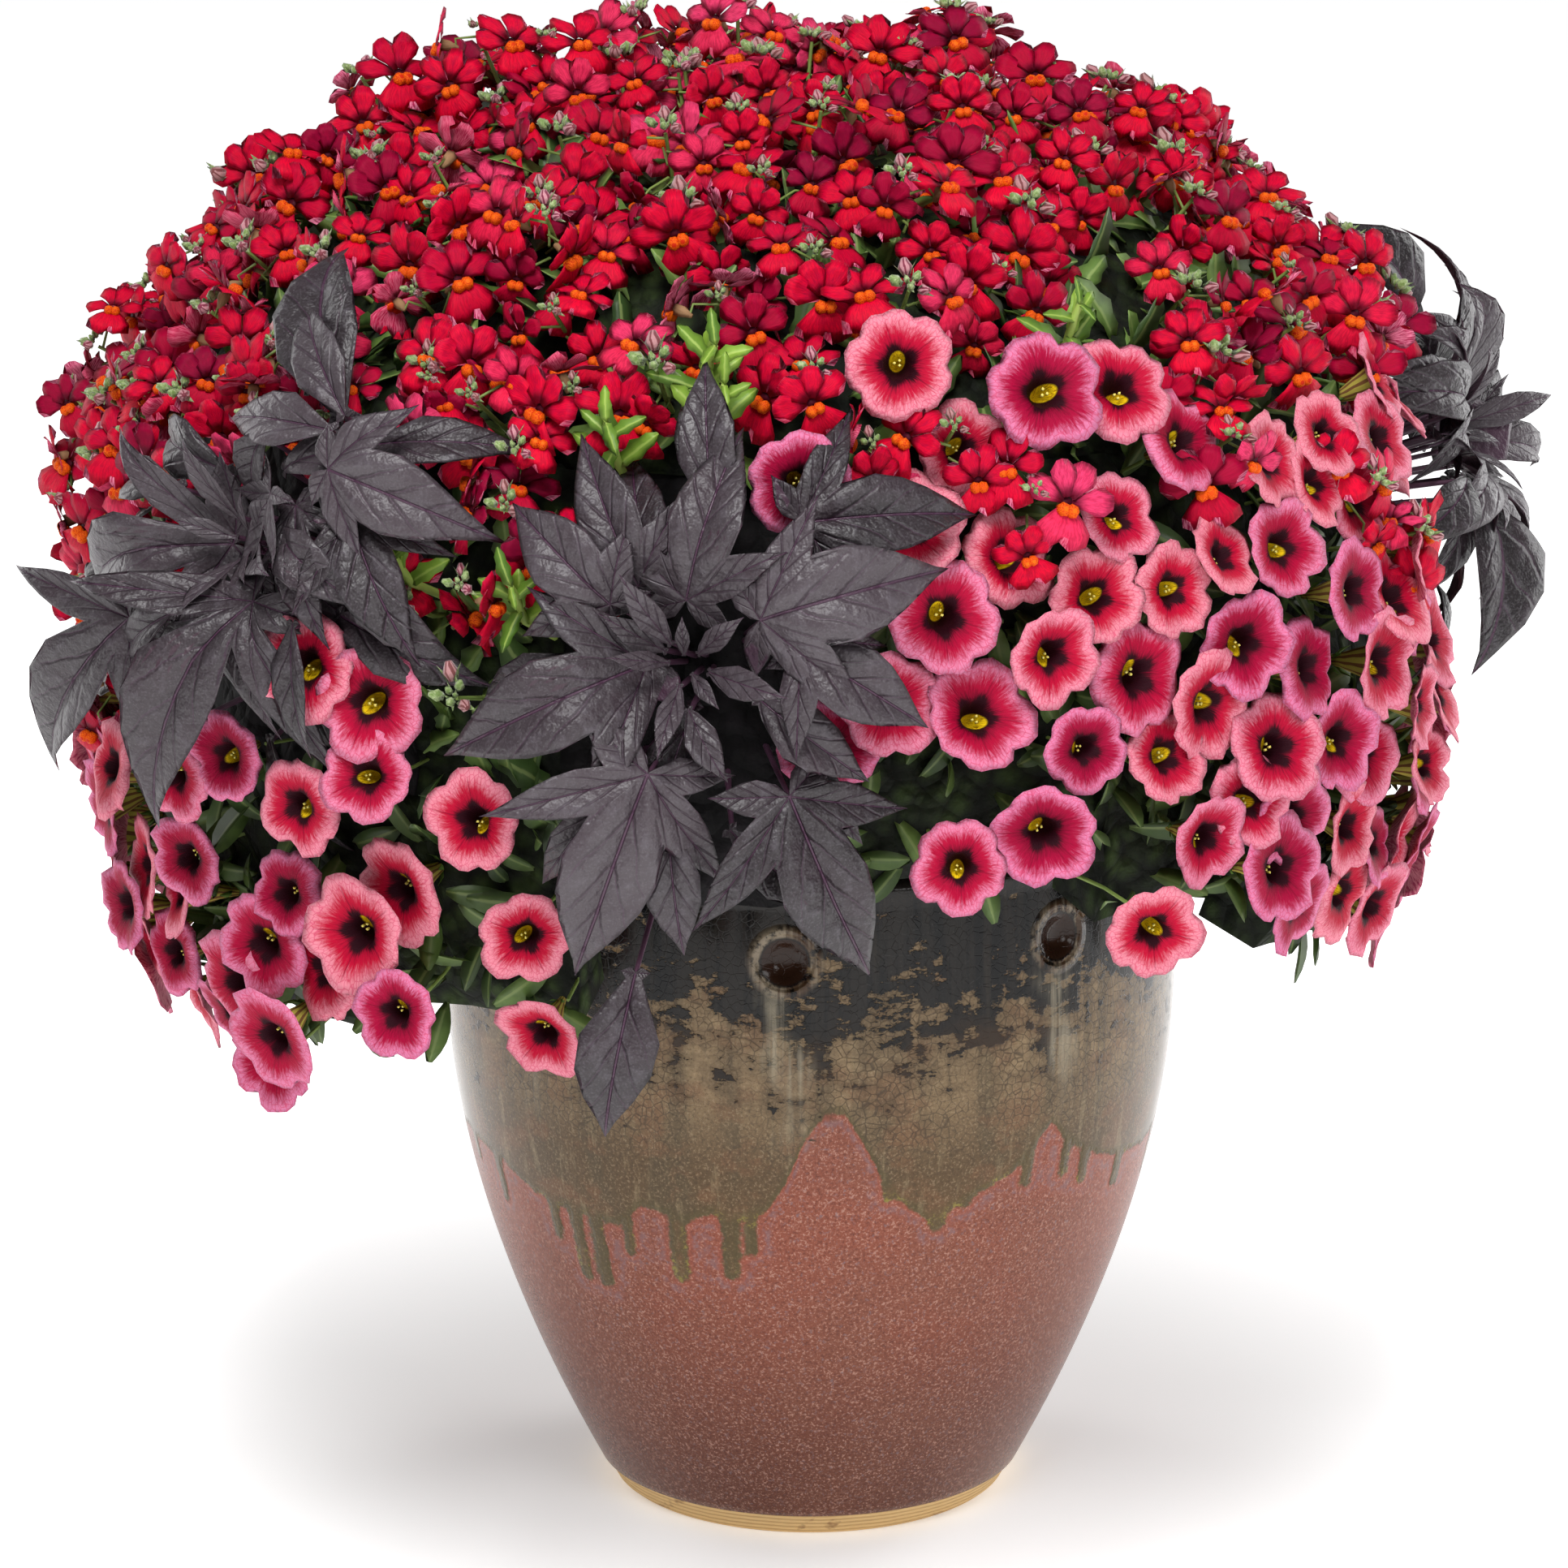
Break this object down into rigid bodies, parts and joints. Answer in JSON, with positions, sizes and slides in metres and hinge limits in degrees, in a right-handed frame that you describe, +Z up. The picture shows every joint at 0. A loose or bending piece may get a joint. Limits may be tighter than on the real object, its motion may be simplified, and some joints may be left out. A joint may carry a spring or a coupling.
{
  "type": "potted mixed flower planting",
  "caption": "Domed mixed planting of red nemesia, dark sweet potato vine and pink calibrachoa in a tall egg-shaped glazed pot.",
  "frame": {"origin": "centre of the pot's flat base, on the ground", "axes": "+Z up along the pot's axis; the planting's front, with the bare stretch of pot, faces -Y; +X is to the viewer's right"},
  "size_m": [0.5497, 0.5712, 0.5615],
  "materials": {
    "glaze": "gloss",
    "potting_mix": "matte",
    "green_leaf": "satin",
    "vine_leaf": "satin",
    "nemesia_petal": "matte",
    "calibrachoa_petal": "matte"
  },
  "bodies": {
    "root": {"pot": "glaze", "soil": "potting_mix", "nemesia_foliage_1": "green_leaf", "nemesia_foliage_2": "green_leaf", "nemesia_foliage_3": "green_leaf", "nemesia_foliage_4": "green_leaf", "nemesia_foliage_left": "green_leaf", "nemesia_foliage_front": "green_leaf", "calibrachoa_foliage_right": "green_leaf", "calibrachoa_foliage_back_right": "green_leaf", "calibrachoa_foliage_back_left": "green_leaf", "calibrachoa_foliage_left": "green_leaf", "vine_front": "vine_leaf", "vine_left": "vine_leaf", "vine_right": "vine_leaf", "vine_back": "vine_leaf", "nemesia_head_01": "nemesia_petal", "nemesia_head_02": "nemesia_petal", "nemesia_head_03": "nemesia_petal", "nemesia_head_04": "nemesia_petal", "nemesia_head_05": "nemesia_petal", "nemesia_head_06": "nemesia_petal", "nemesia_head_07": "nemesia_petal", "nemesia_head_08": "nemesia_petal", "nemesia_head_09": "nemesia_petal", "nemesia_head_10": "nemesia_petal", "nemesia_head_11": "nemesia_petal", "nemesia_head_12": "nemesia_petal", "nemesia_head_13": "nemesia_petal", "nemesia_head_14": "nemesia_petal", "nemesia_head_15": "nemesia_petal", "nemesia_head_16": "nemesia_petal", "nemesia_head_17": "nemesia_petal", "nemesia_head_18": "nemesia_petal", "calibrachoa_head_01": "calibrachoa_petal", "calibrachoa_head_02": "calibrachoa_petal", "calibrachoa_head_03": "calibrachoa_petal", "calibrachoa_head_04": "calibrachoa_petal", "calibrachoa_head_05": "calibrachoa_petal", "calibrachoa_head_06": "calibrachoa_petal", "calibrachoa_head_07": "calibrachoa_petal", "calibrachoa_head_08": "calibrachoa_petal", "calibrachoa_head_09": "calibrachoa_petal", "calibrachoa_head_10": "calibrachoa_petal", "calibrachoa_head_11": "calibrachoa_petal", "calibrachoa_head_12": "calibrachoa_petal", "calibrachoa_head_13": "calibrachoa_petal", "calibrachoa_head_14": "calibrachoa_petal", "calibrachoa_head_15": "calibrachoa_petal", "calibrachoa_head_16": "calibrachoa_petal", "calibrachoa_head_17": "calibrachoa_petal"}
  },
  "joints": []
}
